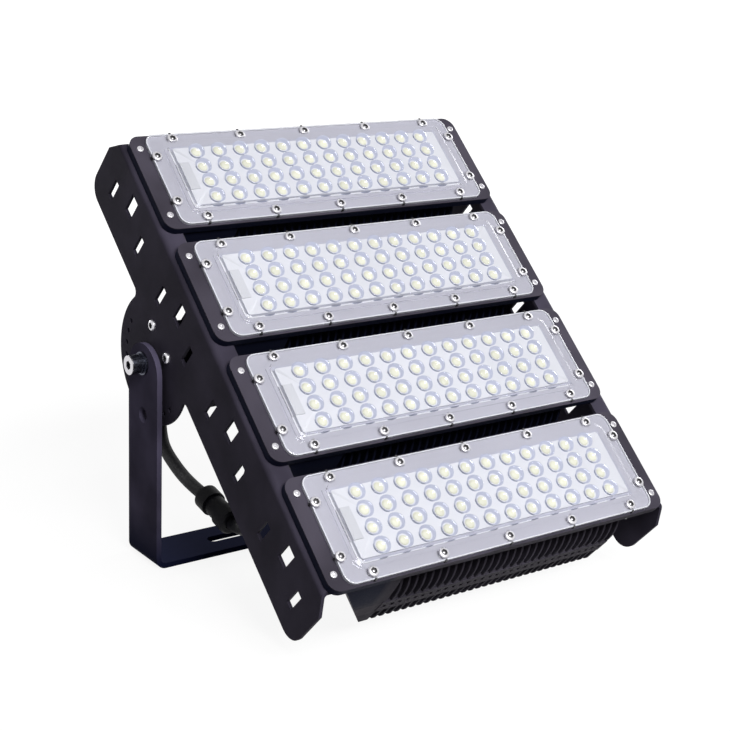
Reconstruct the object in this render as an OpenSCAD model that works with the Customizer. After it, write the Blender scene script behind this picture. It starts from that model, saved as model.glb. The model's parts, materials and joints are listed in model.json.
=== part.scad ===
// Modular LED floodlight: lens modules on two side plates that tilt in a U bracket.
// Millimetres, +Z up, the light faces -Y, and the origin is the middle of the bracket's foot.
// The head is drawn flat and then tilted: u across, v up the face, w out of the face,
// with w = 0 on the plane where the modules sit on the side plates' flanges.

/* [Head] */
// Angle of the light's face above level
aim = 48; // [6:1:174]
// Width over the two side plates
head_w = 305; // [299:1:334]
// Distance between the middles of neighbouring modules
module_pitch = 95; // [92:0.5:104]
// Shift of the modules from the middle between the side plates, to the right
module_u = -2; // [-2:0.5:2]
// Height of the tilt axis up the face from the middle of the head
pivot_v = 47.5; // [43:0.5:52]
// Depth of the tilt axis behind the flanges
pivot_depth = 80; // [77:0.5:88]

/* [Side plates] */
// Thickness of the folded sheet
sheet_t = 2.5; // [2:0.1:3]
// Length by which a side plate runs past the modules' pitches, in all
plate_over = 3; // [-6:1:18]
// Depth of a side plate away from its lobe
plate_depth = 61; // [56:1:66]
// Width of the folded front flange
flange_w = 16.5; // [14:0.5:18]
// Inside radius of the fold
fold_r = 2; // [1:0.5:3]
// Slanted corner, measured along the plate
end_slant_l = 10.5; // [6:0.5:14]
// Slanted corner, measured across the plate
end_slant_d = 16; // [10:0.5:22]
// Radius of the plate's back corners
plate_corner_r = 14; // [6:0.5:16]
// Radius of the pivot lobe
lobe_r = 48.5; // [46:0.5:52]
// Radius of the hollow where the lobe leaves the plate
lobe_fillet = 5; // [3:0.5:8]
// Length of the middle vent along the plate
vent_big_l = 10; // [7:0.5:13]
// Length of a side vent along the plate
vent_small_l = 6.3; // [4:0.1:9]
// Depth of every vent
vent_d = 17.5; // [12:0.5:20]
// Depth of the middle vent's centre
vent_big_depth = 21.5; // [19:0.5:26]
// Depth of the side vents' centres
vent_small_depth = 34; // [30:0.5:40]
// Distance from the middle vent to a side vent
vent_spread = 25.5; // [20:0.5:30]

/* [Tilt scale] */
// Radius of the arc of index holes
index_r = 39; // [37:0.5:42]
// Diameter of an index hole
index_d = 3.6; // [2.6:0.1:4.6]
// Angle between index holes
index_step = 14; // [12:0.5:14]
// Number of index holes
index_count = 13; // [9:1:13]

/* [Heat sink] */
// Gap between the base plates of neighbouring modules
base_gap = 12; // [9:0.5:14]
// Thickness of the base plate
base_t = 6; // [4:0.5:8]
// Corner radius of the base plate
base_r = 9; // [6:0.5:12]
// Mean gap between the base plate's ends and the outsides of the side plates
base_inset = 4.5; // [3:0.5:6]
// Depth of the fins behind the flanges
fin_depth = 66; // [58:0.5:67]
// Thickness of a fin
fin_t = 1.8; // [1.4:0.1:2.4]
// Distance between fins
fin_pitch = 6.6; // [6:0.1:7.5]
// Distance by which a fin flares out above and below
fin_flare = 20; // [7:0.5:23]
// Gap between the fins of neighbouring modules
lip_gap = 9; // [7:0.5:13]
// Depth where a fin stops flaring
flare_depth = 31; // [26:0.5:32]
// Depth where the lip begins
lip_top = 34; // [33:0.5:44]
// Width of the lip
lip_w = 14; // [6:0.5:16]
// Radius of the fins' back corners
fin_tip_r = 5; // [3:0.5:14]
// Thickness of the bar that ties the fins along the lip
rail_t = 3; // [2:0.5:4]
// Length of the wedge that carries the wiring, at the base
wedge_l = 45.5; // [36:0.5:50]
// Length of the wedge at its back
wedge_tip = 3; // [2:0.5:8]
// Distance by which the wedge flares out above and below
wedge_flare = 3; // [2.5:0.5:8]
// Gap between the heat sink and a flange's edge
sink_gap = 0.5; // [0.3:0.1:2]
// Gap between the last fin and the far flange's edge
fin_end_gap = 17; // [6:0.5:20]

/* [Lens cover] */
// Length of the cover
cover_l = 272.4; // [268:0.2:278]
// Edge of the base plate that shows above and below the cover
cover_edge = 1.5; // [1.25:0.25:2.5]
// Thickness of the cover's flange
cover_t = 3; // [2:0.25:4]
// Corner radius of the cover
cover_r = 8; // [6:0.5:11]
// Length of the raised field
field_l = 246; // [242:1:248]
// Width of the cover's flange above and below the raised field
flange_edge = 11; // [10:0.25:11.5]
// Rise of the field above the flange
field_rise = 4; // [3:0.25:5]
// Width of the step round the field
field_step = 3; // [2:0.25:3.5]
// Wall thickness of the field
field_wall = 2; // [1.5:0.1:2.2]
// Lenses in a row
lens_cols = 12; // [8:1:12]
// Rows of lenses
lens_rows = 4; // [2:1:4]
// Distance between lenses along a row
lens_pitch_u = 18.53; // [16:0.01:19]
// Edge of the field above and below the rows of lenses
lens_edge = 2.2; // [1.8:0.1:3.4]
// Diameter of a lens dome
lens_d = 12.6; // [11:0.1:12.7]
// Height of a lens dome
lens_rise = 4.5; // [3:0.1:5.5]

/* [LED board] */
// Length of the board
board_l = 238; // [230:1:239]
// Gap between the board and the field's edge, above and below
board_edge = 3.5; // [3:0.25:5.5]
// Thickness of the board
board_t = 1.6; // [1:0.1:2]
// Side of a square LED
led_side = 3.5; // [3:0.1:5]
// Height of an LED
led_rise = 0.7; // [0.4:0.1:1]

/* [Bracket] */
// Thickness of the flat bar
bar_t = 4; // [3:0.25:5]
// Width of the flat bar
bar_w = 43; // [38:1:52]
// Inside radius of the bends
bend_r = 4; // [2:0.5:8]
// Height of the tilt axis above the foot
pivot_h = 153; // [152:1:180]
// Height of an arm's round top above the tilt axis
arm_rise = 14.5; // [13:0.5:21]
// Gap between a side plate and an arm
arm_gap = 3.5; // [3:0.25:8]
// Width of a foot slot
slot_w = 9.5; // [7:0.25:12]
// Length of a foot slot
slot_l = 40; // [24:1:60]
// Distance between the middles of the foot slots
slot_spacing = 168; // [130:1:190]
// Diameter of the middle hole in the foot
foot_hole_d = 12.5; // [9:0.5:17]
// Diameter of the lock hole in an arm
lock_d = 7.5; // [5:0.25:9]
// Diameter of the lock hole's countersink
lock_sink_d = 11.5; // [9.5:0.25:14]

/* [Pivot bolts] */
// Diameter of the bolt's shank
bolt_d = 8; // [6:0.5:10]
// Diameter of the bolt's head
head_d = 14; // [13:0.25:16]
// Height of the bolt's head
head_h = 8; // [6:0.25:10]
// Width across the flats of the socket
socket_af = 6; // [4:0.5:7]
// Depth of the socket
socket_depth = 4.5; // [3:0.25:5.5]
// Thickness of the flat washer
washer_t = 1.6; // [1:0.1:2.5]
// Diameter of the flat washer
washer_d = 17; // [15:0.5:22]
// Thickness of the spring washer
spring_t = 2; // [1.2:0.1:3]
// Diameter of the spring washer
spring_d = 14.8; // [13.5:0.1:16.5]
// Diameter of the spacer between an arm and a side plate
spacer_d = 22; // [18:0.5:30]
// Width across the flats of the nut
nut_af = 13; // [12:0.5:15]
// Height of the nut
nut_h = 8; // [6:0.5:10]
// Length of bolt that shows past the nut
bolt_end = 2; // [0.5:0.5:4]

/* [Driver] */
// Height of the tray across the head
tray_h = 43; // [39:1:50]
// Thickness of the tray's sheet
tray_t = 2; // [1.5:0.1:2.5]
// Length of the tray's folded ends
tray_end = 18; // [15:0.5:22]
// Gap between the fins and the tray
tray_gap = 2; // [1:0.5:4]
// Length of the driver without its end caps
driver_l = 212; // [204:1:232]
// Height of the driver
driver_h = 68; // [66:1:72]
// Depth of the driver
driver_d = 39; // [34:0.5:44]
// Thickness of an end cap
cap_t = 4; // [2:0.5:6]
// Depth of the cooling grooves
groove_d = 2.5; // [1:0.25:4]
// Width of a cooling groove
groove_w = 3; // [2:0.25:4]
// Number of cooling grooves
groove_count = 7; // [3:1:8]

/* [Cable fittings] */
// Diameter of the leads
lead_d = 10; // [8:0.25:11]
// Width across the flats of a gland
gland_af = 20; // [19:0.5:23]
// Length of a gland
gland_l = 18; // [16:0.5:22]
// Diameter of the lead connector
connector_d = 19.5; // [18:0.25:22]
// Length of the lead connector
connector_l = 40; // [38:0.5:44]

/* [Hidden] */
$fn = 96;

black_coat = "#1b1b22";
black_cast = "#17171b";
clear_lens = "#e6eaf2";
board_white = "#f2f2ee";
zinc = "#b9bcc2";
black_rubber = "#121214";

module_count = 4;
// Overlap that makes two shapes of one solid meet
fuse = 0.5;
// Length by which a cut runs past a surface
past = 1;
// Radial play of the bolts in the side plates, which turn on them
pin_play = 0.05;
// Radial play of washers and arms round a bolt
bolt_play = 0.3;
// Play between faces that slide as the head tilts
slide_play = 0.3;
// Radial play of a lead in its gland or connector
lead_play = 0.3;

plate_u = head_w / 2;
plate_inner_u = plate_u - sheet_t;
arm_inner_u = plate_u + arm_gap;
arm_outer_u = arm_inner_u + bar_t;
arm_top = pivot_h + arm_rise;

plate_l = module_count * module_pitch + plate_over;
// Height of the plates' middle above the middle of the head
plate_v = 1.5;
// The lobe's middle lies a little above the tilt axis and nearer the face
lobe_shift = [1, 1.5];
lobe_mid = [pivot_v, -pivot_depth] + lobe_shift;
// Depth to which the hollows beside the lobe cut into the lobe and the plate, so that the edges cross
hollow_bite = 0.03;
hollow_reach = lobe_r + lobe_fillet - hollow_bite;
hollow_drop = -lobe_mid[1] - plate_depth - lobe_fillet + hollow_bite;

base_l = head_w - 2 * base_inset;
base_h = module_pitch - base_gap;
lip_h = module_pitch - lip_gap;
sink_u = plate_u - flange_w - sink_gap + module_u;
fin_start = -sink_u + wedge_l;
fin_room = plate_u - flange_w - fin_end_gap - module_u - fin_start - fin_t;
fin_count = floor(fin_room / fin_pitch) + 1;
fin_stop = fin_start + (fin_count - 1) * fin_pitch + fin_t;
rail_proud = 0.4;
rail_slot_l = 4.5;
rail_slot_w = 3;

// Wiring boss on the wedge: its place from the wedge's thin end, its rim and how far it stands proud
boss_from_end = 13.5;
boss_rim = 1;
boss_proud = 1;
boss_u = -sink_u + boss_from_end;
boss_v = -10;
boss_d = gland_af / cos(30) + 2 * boss_rim;
boss_top = -(boss_from_end + boss_d / 2) * fin_depth / (wedge_l - wedge_tip) - boss_proud;

cover_h = base_h - 2 * cover_edge;
field_h = cover_h - 2 * flange_edge;
field_top = base_t + cover_t + field_rise;
lens_pitch_v = (field_h - 2 * lens_edge) / lens_rows;
board_h = field_h - 2 * board_edge;
terminal_l = 8;
terminal_h = 24;
terminal_rise = 2.8;

tray_front = -fin_depth - tray_gap;
tray_back = tray_front - tray_t;
tray_fold_r = 1;
driver_back = tray_back - driver_d;
// Height of the driver and its tray up the face
driver_v = pivot_v + 3;
driver_r = 4;
driver_gland_u = driver_l / 2 - 10;
driver_gland_v = 21.5;
groove_pitch = 5;
groove_shift = -9;

gland_hex_l = 5;
gland_neck_l = 2;
gland_neck_d = gland_af - 3;
gland_mouth_d = lead_d + 5;
gland_taper_l = 5;
gland_lip = 1;

// The connector's middle and the slope of its axis behind the head
connector_u = -110;
connector_mid = [-47, -148];
connector_slope = -29.5;
connector_cap_l = 13;
connector_waist_d = connector_d - 3;
connector_socket = 10;
lead_sides = 10;

// Lead from the connector up to the driver, as u, v and w
driver_lead_route = [
    [-110, -36, -154], [-110, -29, -159], [-109.5, -14, -170], [-108, 0, -180], [-106, 15, -189],
    [-103.5, 31, -197], [-101, 44, -200], [-98.5, 58, -196], [-97, 68, -185], [-96, 72, -171],
    [-96, 72, -150], [-96, 72, -133], [-96, 72, -117]
];
// Lead from a module's gland down to the connector, as u, v and w
module_lead_route = [
    [-122, -57.5, -47], [-122, -57.5, -59], [-121.5, -60.5, -71], [-120, -69, -83],
    [-117.5, -78, -93.5], [-114.5, -81, -107], [-112, -78, -121], [-110.5, -70, -132.5],
    [-110, -64, -138], [-110, -57, -142]
];

function module_v(i) = ((module_count + 1) / 2 - i) * module_pitch;
function lens_u(c) = (c - (lens_cols - 1) / 2) * lens_pitch_u;
function lens_v(r) = (r - (lens_rows - 1) / 2) * lens_pitch_v;
function unit(a) = a / norm(a);
// Middle of the hollow on one side of the lobe, between the lobe and the plate's back edge
function hollow_mid(side) =
    lobe_mid + [side * sqrt(hollow_reach * hollow_reach - hollow_drop * hollow_drop), hollow_drop];

// Rectangle with round corners, centred
module round_rect(l, h, r) {
    square([l - 2 * r, h], center = true);
    square([l, h - 2 * r], center = true);
    for (x = [-1, 1], y = [-1, 1])
        translate([x * (l / 2 - r), y * (h / 2 - r)]) circle(r);
}

// Carries a flat outline in v and w along u
module along_u(from, to) {
    translate([from, 0, 0]) rotate([90, 0, 90]) linear_extrude(to - from) children();
}

// Carries a flat outline in u and w along v
module along_v(from, to) {
    translate([0, to, 0]) rotate([90, 0, 0]) linear_extrude(to - from) children();
}

// Carries a flat outline in u and v along w
module along_w(from, to) {
    translate([0, 0, from]) linear_extrude(to - from) children();
}

// Tilts the flat head to its aim on the bracket
module on_head() {
    translate([0, 0, pivot_h]) rotate([90 - aim, 0, 0]) translate([0, -pivot_v, pivot_depth]) children();
}

module at_module(i) {
    on_head() translate([module_u, module_v(i), 0]) children();
}

// Places a turned piece on the right-hand tilt axis, pointing outwards
module on_pivot(u) {
    translate([u, 0, pivot_h]) rotate([0, 90, 0]) children();
}

module both_sides() {
    children();
    mirror([1, 0, 0]) children();
}

module ring(outer_d, inner_d, h) {
    difference() {
        cylinder(d = outer_d, h = h);
        translate([0, 0, -past]) cylinder(d = inner_d, h = h + 2 * past);
    }
}

// Bracket

module u_outline(w, r) {
    translate([-w / 2, r]) square([w, pivot_h + bar_w]);
    translate([-w / 2 + r, 0]) square([w - 2 * r, r + fuse]);
    for (x = [-1, 1]) translate([x * (w / 2 - r), r]) circle(r);
}

module foot_slot() {
    for (x = [-1, 1]) translate([x * (slot_l - slot_w) / 2, 0]) circle(d = slot_w);
    square([slot_l - slot_w, slot_w], center = true);
}

module bracket() {
    color(black_coat) difference() {
        intersection() {
            along_v(-bar_w, bar_w) difference() {
                u_outline(2 * arm_outer_u, bend_r + bar_t);
                translate([0, bar_t]) u_outline(2 * arm_inner_u, bend_r);
            }
            along_u(-arm_outer_u - past, arm_outer_u + past) {
                translate([-bar_w / 2, -past]) square([bar_w, arm_top - bar_w / 2 + past]);
                translate([0, arm_top - bar_w / 2]) circle(d = bar_w);
            }
        }
        for (x = [-1, 1])
            translate([x * slot_spacing / 2, 0, 0]) along_w(-past, bar_t + past) foot_slot();
        translate([0, 0, -past]) cylinder(d = foot_hole_d, h = bar_t + 2 * past);
        both_sides() {
            on_pivot(arm_inner_u - past) cylinder(d = bolt_d + 2 * bolt_play, h = bar_t + 2 * past);
            translate([arm_inner_u, 0, pivot_h - index_r]) rotate([0, 90, 0]) {
                translate([0, 0, -past]) cylinder(d = lock_d, h = bar_t + 2 * past);
                translate([0, 0, bar_t - (lock_sink_d - lock_d) / 2])
                    cylinder(d1 = lock_d, d2 = lock_sink_d, h = (lock_sink_d - lock_d) / 2);
            }
        }
    }
}

// Pivot bolts

module pivot_bolt() {
    seat_u = arm_outer_u + washer_t + spring_t;
    tip_u = plate_inner_u - slide_play - nut_h - bolt_end;
    on_pivot(tip_u) cylinder(d = bolt_d, h = seat_u - tip_u + fuse);
    on_pivot(seat_u) difference() {
        cylinder(d = head_d, h = head_h);
        translate([0, 0, head_h - socket_depth])
            cylinder(d = socket_af / cos(30), h = socket_depth + past, $fn = 6);
    }
}

module pivot_bolt_right() { color(zinc) pivot_bolt(); }

module pivot_bolt_left() { color(zinc) mirror([1, 0, 0]) pivot_bolt(); }

module pivot_flat_washers() {
    color(zinc) both_sides() on_pivot(arm_outer_u) ring(washer_d, bolt_d + 2 * bolt_play, washer_t);
}

module pivot_spring_washers() {
    split_w = 1.5;
    color(zinc) both_sides() on_pivot(arm_outer_u + washer_t) difference() {
        ring(spring_d, bolt_d + 2 * bolt_play, spring_t);
        rotate([0, 0, 60]) translate([bolt_d / 4, -split_w / 2, -past])
            cube([spring_d, split_w, spring_t + 2 * past]);
    }
}

module pivot_spacers() {
    color(zinc) both_sides() on_pivot(plate_u + slide_play)
        ring(spacer_d, bolt_d + 2 * bolt_play, arm_gap - slide_play);
}

module pivot_nuts() {
    thread_play = 0.02;
    color(zinc) both_sides() on_pivot(plate_inner_u - slide_play - nut_h) difference() {
        cylinder(d = nut_af / cos(30), h = nut_h, $fn = 6);
        translate([0, 0, -past]) cylinder(d = bolt_d + 2 * thread_play, h = nut_h + 2 * past);
    }
}

// Side plates

// Block with the plate's outline, before the fold is cut from it
module plate_block(from, to) {
    low = plate_v - plate_l / 2;
    high = plate_v + plate_l / 2;
    corner = plate_corner_r;
    neck_top = -plate_depth + fuse;
    difference() {
        union() {
            along_u(from, to) polygon([
                [low + end_slant_l, 0], [high - end_slant_l, 0], [high, -end_slant_d],
                [high, -plate_depth + corner], [high - corner, -plate_depth],
                [low + corner, -plate_depth], [low, -plate_depth + corner], [low, -end_slant_d]
            ]);
            for (v = [low + corner, high - corner])
                along_u(from, to) translate([v, -plate_depth + corner]) circle(corner);
            along_u(from, to) translate(lobe_mid) circle(lobe_r);
            along_u(from, to) polygon([
                lobe_mid, hollow_mid(-1), [hollow_mid(-1)[0], neck_top],
                [hollow_mid(1)[0], neck_top], hollow_mid(1)
            ]);
        }
        for (side = [-1, 1])
            along_u(from - past, to + past) translate(hollow_mid(side)) circle(lobe_fillet);
    }
}

// Fold of the sheet across the plate: web outside, flange in front
module plate_fold() {
    back = -pivot_depth - lobe_r - past;
    outer_r = fold_r + sheet_t;
    difference() {
        union() {
            translate([plate_u - flange_w, back]) square([flange_w - outer_r, -back]);
            translate([plate_u - flange_w, back]) square([flange_w, -back - outer_r]);
            translate([plate_u - outer_r, -outer_r]) circle(outer_r);
        }
        translate([plate_u - flange_w - past, back - past])
            square([flange_w + past - outer_r, past - back - sheet_t]);
        translate([plate_u - flange_w - past, back - past])
            square([flange_w + past - sheet_t, past - back - outer_r]);
        translate([plate_u - outer_r, -outer_r]) circle(fold_r);
    }
}

module plate_vents() {
    for (i = [1:module_count]) translate([module_v(i), 0]) {
        translate([0, -vent_big_depth]) square([vent_big_l, vent_d], center = true);
        for (x = [-1, 1])
            translate([x * vent_spread, -vent_small_depth]) square([vent_small_l, vent_d], center = true);
    }
}

module index_holes() {
    first = 90 - index_step * (index_count - 1) / 2;
    for (k = [0:index_count - 1]) {
        a = first + k * index_step;
        translate([pivot_v + index_r * cos(a), -pivot_depth - index_r * sin(a)]) circle(d = index_d);
    }
}

module side_plate() {
    difference() {
        intersection() {
            along_v(plate_v - plate_l / 2 - past, plate_v + plate_l / 2 + past) plate_fold();
            plate_block(plate_u - flange_w - past, plate_u + past);
        }
        along_u(plate_inner_u - past, plate_u + past) {
            plate_vents();
            index_holes();
            translate([pivot_v, -pivot_depth]) circle(d = bolt_d + 2 * pin_play);
        }
    }
}

module side_plate_right() { color(black_coat) on_head() side_plate(); }

module side_plate_left() { color(black_coat) on_head() mirror([1, 0, 0]) side_plate(); }

// Heat sinks

// A fin seen from the side: narrow at its root, flaring to its full height, round at its back corners
module fin_outline(flare) {
    translate([flare - lip_h / 2, -flare_depth]) square([lip_h - 2 * flare, flare_depth + fuse]);
    both_sides() flare_half(flare);
    difference() {
        translate([-lip_h / 2, -fin_depth]) square([lip_h, fin_depth - flare_depth]);
        for (x = [-1, 1]) translate([x * lip_h / 2, -fin_depth])
            square(2 * fin_tip_r, center = true);
    }
    for (x = [-1, 1]) translate([x * (lip_h / 2 - fin_tip_r), -fin_depth + fin_tip_r]) circle(fin_tip_r);
}

// Half of a fin's flare, whose side is an arc from the root out to the full height
module flare_half(flare) {
    flare_r = (flare * flare + flare_depth * flare_depth) / (2 * flare);
    intersection() {
        translate([-fuse, -flare_depth]) square([lip_h / 2 + fuse, flare_depth + fuse]);
        translate([lip_h / 2 - flare_r, -flare_depth]) circle(flare_r, $fn = 200);
    }
}

module lip_rail() {
    difference() {
        translate([fin_start, -lip_top - lip_w]) square([fin_stop - fin_start, lip_w]);
        for (k = [0:fin_count - 2])
            translate([fin_start + fin_t / 2 + (k + 0.5) * fin_pitch, -lip_top - lip_w / 2])
                square([rail_slot_w, rail_slot_l], center = true);
    }
}

module heat_sink(i) {
    color(black_cast) at_module(i) {
        along_w(0, base_t) round_rect(base_l, base_h, base_r);
        for (k = [0:fin_count - 1]) {
            u = fin_start + k * fin_pitch;
            along_u(u, u + fin_t) fin_outline(fin_flare);
        }
        for (side = [-1, 1]) {
            outer = side * (lip_h / 2 + rail_proud);
            inner = outer - side * rail_t;
            along_v(min(outer, inner), max(outer, inner)) lip_rail();
        }
        intersection() {
            along_u(-sink_u, fin_start + fuse) fin_outline(wedge_flare);
            along_v(-base_h, base_h) polygon([
                [-sink_u, fuse], [fin_start + fuse, fuse], [fin_start + fuse, -fin_depth],
                [fin_start - wedge_tip, -fin_depth], [-sink_u, 0]
            ]);
        }
        translate([boss_u, boss_v, boss_top]) cylinder(d = boss_d, h = -boss_top);
    }
}

// LED boards

module led_board(i) {
    color(board_white) at_module(i) {
        along_w(base_t, base_t + board_t) square([board_l, board_h], center = true);
        for (c = [0:lens_cols - 1], r = [0:lens_rows - 1])
            translate([lens_u(c) - led_side / 2, lens_v(r) - led_side / 2, base_t + board_t - fuse])
                cube([led_side, led_side, led_rise + fuse]);
        translate([-board_l / 2, -terminal_h / 2, base_t + board_t - fuse])
            cube([terminal_l, terminal_h, terminal_rise + fuse]);
    }
}

// Lens covers

module lens_dome() {
    ball_r = (pow(lens_d / 2, 2) + lens_rise * lens_rise) / (2 * lens_rise);
    rotate_extrude() intersection() {
        translate([0, lens_rise - ball_r]) circle(ball_r);
        translate([0, -fuse]) square([lens_d, lens_rise + 2 * fuse]);
        square([lens_d, 3 * lens_d], center = true);
    }
}

module lens_cover(i) {
    step_w = base_t + cover_t + field_rise / 2;
    color(clear_lens, 0.5) at_module(i) {
        difference() {
            union() {
                along_w(base_t, base_t + cover_t) round_rect(cover_l, cover_h, cover_r);
                along_w(base_t + fuse, step_w)
                    round_rect(field_l + 2 * field_step, field_h + 2 * field_step, cover_r);
                along_w(base_t + fuse, field_top) round_rect(field_l, field_h, cover_r - field_step);
            }
            along_w(base_t - past, field_top - field_wall)
                square([field_l - 2 * field_wall, field_h - 2 * field_wall], center = true);
        }
        for (c = [0:lens_cols - 1], r = [0:lens_rows - 1])
            translate([lens_u(c), lens_v(r), field_top]) lens_dome();
    }
}

// Driver

module tray_fold() {
    outer_r = tray_fold_r + tray_t;
    top = tray_back + tray_end;
    difference() {
        union() {
            translate([-plate_inner_u + outer_r, tray_back])
                square([2 * (plate_inner_u - outer_r), tray_end]);
            translate([-plate_inner_u, tray_back + outer_r])
                square([2 * plate_inner_u, tray_end - outer_r]);
            for (x = [-1, 1])
                translate([x * (plate_inner_u - outer_r), tray_back + outer_r]) circle(outer_r);
        }
        translate([-plate_inner_u + outer_r, tray_front])
            square([2 * (plate_inner_u - outer_r), tray_end]);
        translate([-plate_inner_u + tray_t, tray_back + outer_r])
            square([2 * (plate_inner_u - tray_t), top - tray_back]);
        for (x = [-1, 1])
            translate([x * (plate_inner_u - outer_r), tray_back + outer_r]) circle(tray_fold_r);
    }
}

module driver_tray() {
    color(black_coat) on_head()
        along_v(driver_v - tray_h / 2, driver_v + tray_h / 2) tray_fold();
}

module driver_housing() {
    color(black_cast) on_head() along_u(-driver_l / 2, driver_l / 2) difference() {
        translate([driver_v, (tray_back + driver_back) / 2]) round_rect(driver_h, driver_d, driver_r);
        for (k = [0:groove_count - 1])
            translate([driver_v + groove_shift + (k - (groove_count - 1) / 2) * groove_pitch, driver_back])
                square([groove_w, 2 * groove_d], center = true);
    }
}

module driver_end_caps() {
    color(black_cast) on_head() both_sides() along_u(driver_l / 2, driver_l / 2 + cap_t)
        translate([driver_v, (tray_back + driver_back) / 2]) round_rect(driver_h, driver_d, driver_r);
}

// Cable fittings

// A gland standing on w = 0 and pointing along +w, with a through hole for the lead
module gland() {
    neck_w = gland_hex_l + gland_neck_l;
    difference() {
        union() {
            cylinder(d = gland_af / cos(30), h = gland_hex_l, $fn = 6);
            cylinder(d = gland_neck_d, h = neck_w + fuse);
            rotate_extrude() polygon([
                [0, neck_w], [gland_af / 2, neck_w], [gland_af / 2, gland_l - gland_taper_l],
                [gland_mouth_d / 2 + gland_lip, gland_l - gland_lip],
                [gland_mouth_d / 2, gland_l], [0, gland_l]
            ]);
        }
        translate([0, 0, -past]) cylinder(d = lead_d + 2 * lead_play, h = gland_l + 2 * past);
    }
}

module module_gland(i) {
    color(black_rubber) at_module(i) translate([boss_u, boss_v, boss_top]) mirror([0, 0, 1]) gland();
}

module driver_gland(side) {
    color(black_rubber) on_head()
        translate([side * driver_gland_u, driver_v + driver_gland_v, driver_back])
            mirror([0, 0, 1]) gland();
}

module driver_output_gland() { driver_gland(-1); }

module driver_inlet_gland() { driver_gland(1); }

// Barrel connector in the lead: a waist between two caps, with a socket in each end
module lead_connector() {
    half = connector_l / 2;
    waist_l = connector_l - 2 * connector_cap_l;
    socket_d = lead_d + 2 * lead_play;
    bevel = 1.5;
    color(black_rubber) on_head()
        translate([connector_u, connector_mid[0], connector_mid[1]]) rotate([connector_slope - 90, 0, 0])
            rotate_extrude() polygon([
                [0, -half + connector_socket], [socket_d / 2, -half + connector_socket], [socket_d / 2, -half],
                [connector_d / 2 - bevel, -half], [connector_d / 2, -half + bevel],
                [connector_d / 2, -waist_l / 2], [connector_waist_d / 2, -waist_l / 2],
                [connector_waist_d / 2, waist_l / 2], [connector_d / 2, waist_l / 2],
                [connector_d / 2, half - bevel], [connector_d / 2 - bevel, half],
                [socket_d / 2, half], [socket_d / 2, half - connector_socket], [0, half - connector_socket]
            ]);
}

// Leads

// Direction of a route at one of its points
function heading(route, i) =
    unit(route[min(i + 1, len(route) - 1)] - route[max(i - 1, 0)]);

// Circle of points round a route's point, square to its direction
function lead_ring(route, i) =
    let (t = heading(route, i), a = unit(cross(t, [1, 0, 0])), b = cross(t, a))
    [for (k = [0:lead_sides - 1])
        route[i] + lead_d / 2 * (cos(360 * k / lead_sides) * a + sin(360 * k / lead_sides) * b)];

module lead(route) {
    last = len(route) - 1;
    rings = [for (i = [0:last]) each lead_ring(route, i)];
    walls = [for (i = [0:last - 1], k = [0:lead_sides - 1])
        let (n = (k + 1) % lead_sides, a = i * lead_sides, b = a + lead_sides)
        each [[a + k, b + k, b + n], [a + k, b + n, a + n]]];
    first_end = [for (k = [0:lead_sides - 1]) k];
    last_end = [for (k = [lead_sides - 1:-1:0]) last * lead_sides + k];
    polyhedron(rings, concat(walls, [first_end, last_end]));
}

module driver_lead() { color(black_rubber) on_head() lead(driver_lead_route); }

module module_lead() { color(black_rubber) on_head() lead(module_lead_route); }

bracket();
pivot_bolt_left();
pivot_bolt_right();
pivot_flat_washers();
pivot_spring_washers();
pivot_spacers();
pivot_nuts();
side_plate_left();
side_plate_right();
for (i = [1:module_count]) {
    heat_sink(i);
    led_board(i);
    lens_cover(i);
    module_gland(i);
}
driver_tray();
driver_housing();
driver_end_caps();
driver_output_gland();
driver_inlet_gland();
lead_connector();
driver_lead();
module_lead();
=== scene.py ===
"""Looks of the modular LED floodlight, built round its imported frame.

The head is drawn flat, as u across the face, v up the face and w out of the face, in millimetres, with
w = 0 where the modules sit on the side plates. Then head_points() tilts it to its place in the frame.
"""

import json

import bpy
import numpy as np
from mathutils import Matrix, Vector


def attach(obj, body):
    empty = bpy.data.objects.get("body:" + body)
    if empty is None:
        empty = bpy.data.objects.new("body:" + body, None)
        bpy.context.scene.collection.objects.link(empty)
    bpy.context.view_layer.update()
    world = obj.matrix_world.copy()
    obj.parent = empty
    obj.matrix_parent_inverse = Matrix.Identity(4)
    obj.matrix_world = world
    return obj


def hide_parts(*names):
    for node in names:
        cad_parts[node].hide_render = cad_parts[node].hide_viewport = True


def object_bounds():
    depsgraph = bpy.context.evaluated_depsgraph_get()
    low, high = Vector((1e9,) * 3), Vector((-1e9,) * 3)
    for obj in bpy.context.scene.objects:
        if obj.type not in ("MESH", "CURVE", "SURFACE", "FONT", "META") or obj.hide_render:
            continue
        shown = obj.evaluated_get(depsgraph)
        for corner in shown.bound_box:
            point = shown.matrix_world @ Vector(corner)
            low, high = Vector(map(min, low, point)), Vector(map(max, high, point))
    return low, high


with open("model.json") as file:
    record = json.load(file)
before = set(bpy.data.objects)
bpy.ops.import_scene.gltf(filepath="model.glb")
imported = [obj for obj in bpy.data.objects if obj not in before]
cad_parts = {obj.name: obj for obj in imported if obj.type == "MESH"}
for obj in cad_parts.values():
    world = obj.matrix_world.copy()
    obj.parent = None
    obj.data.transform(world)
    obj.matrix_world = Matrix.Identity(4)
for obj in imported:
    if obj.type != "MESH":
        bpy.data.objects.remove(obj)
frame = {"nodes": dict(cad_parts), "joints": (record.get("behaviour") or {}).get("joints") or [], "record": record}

bl_info = {
    "name": "Modular LED Floodlight",
    "version": (1, 0, 0),
    "blender": (4, 5, 0),
    "location": "View3D > Sidebar > Floodlight",
    "description": "Builds the lens covers, LED boards, screws, leads, finishes and stage of a floodlight",
    "category": "Object",
}

MM = 0.001
CAD_BOX = [list(corner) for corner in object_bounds()]
PIVOT = np.array(frame["joints"][0]["pos_m"]) / MM
MODULES = (1, 2, 3, 4)
ACROSS = (1.0, 0.0, 0.0)
UPRIGHT = (0.0, 0.0, 1.0)
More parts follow.
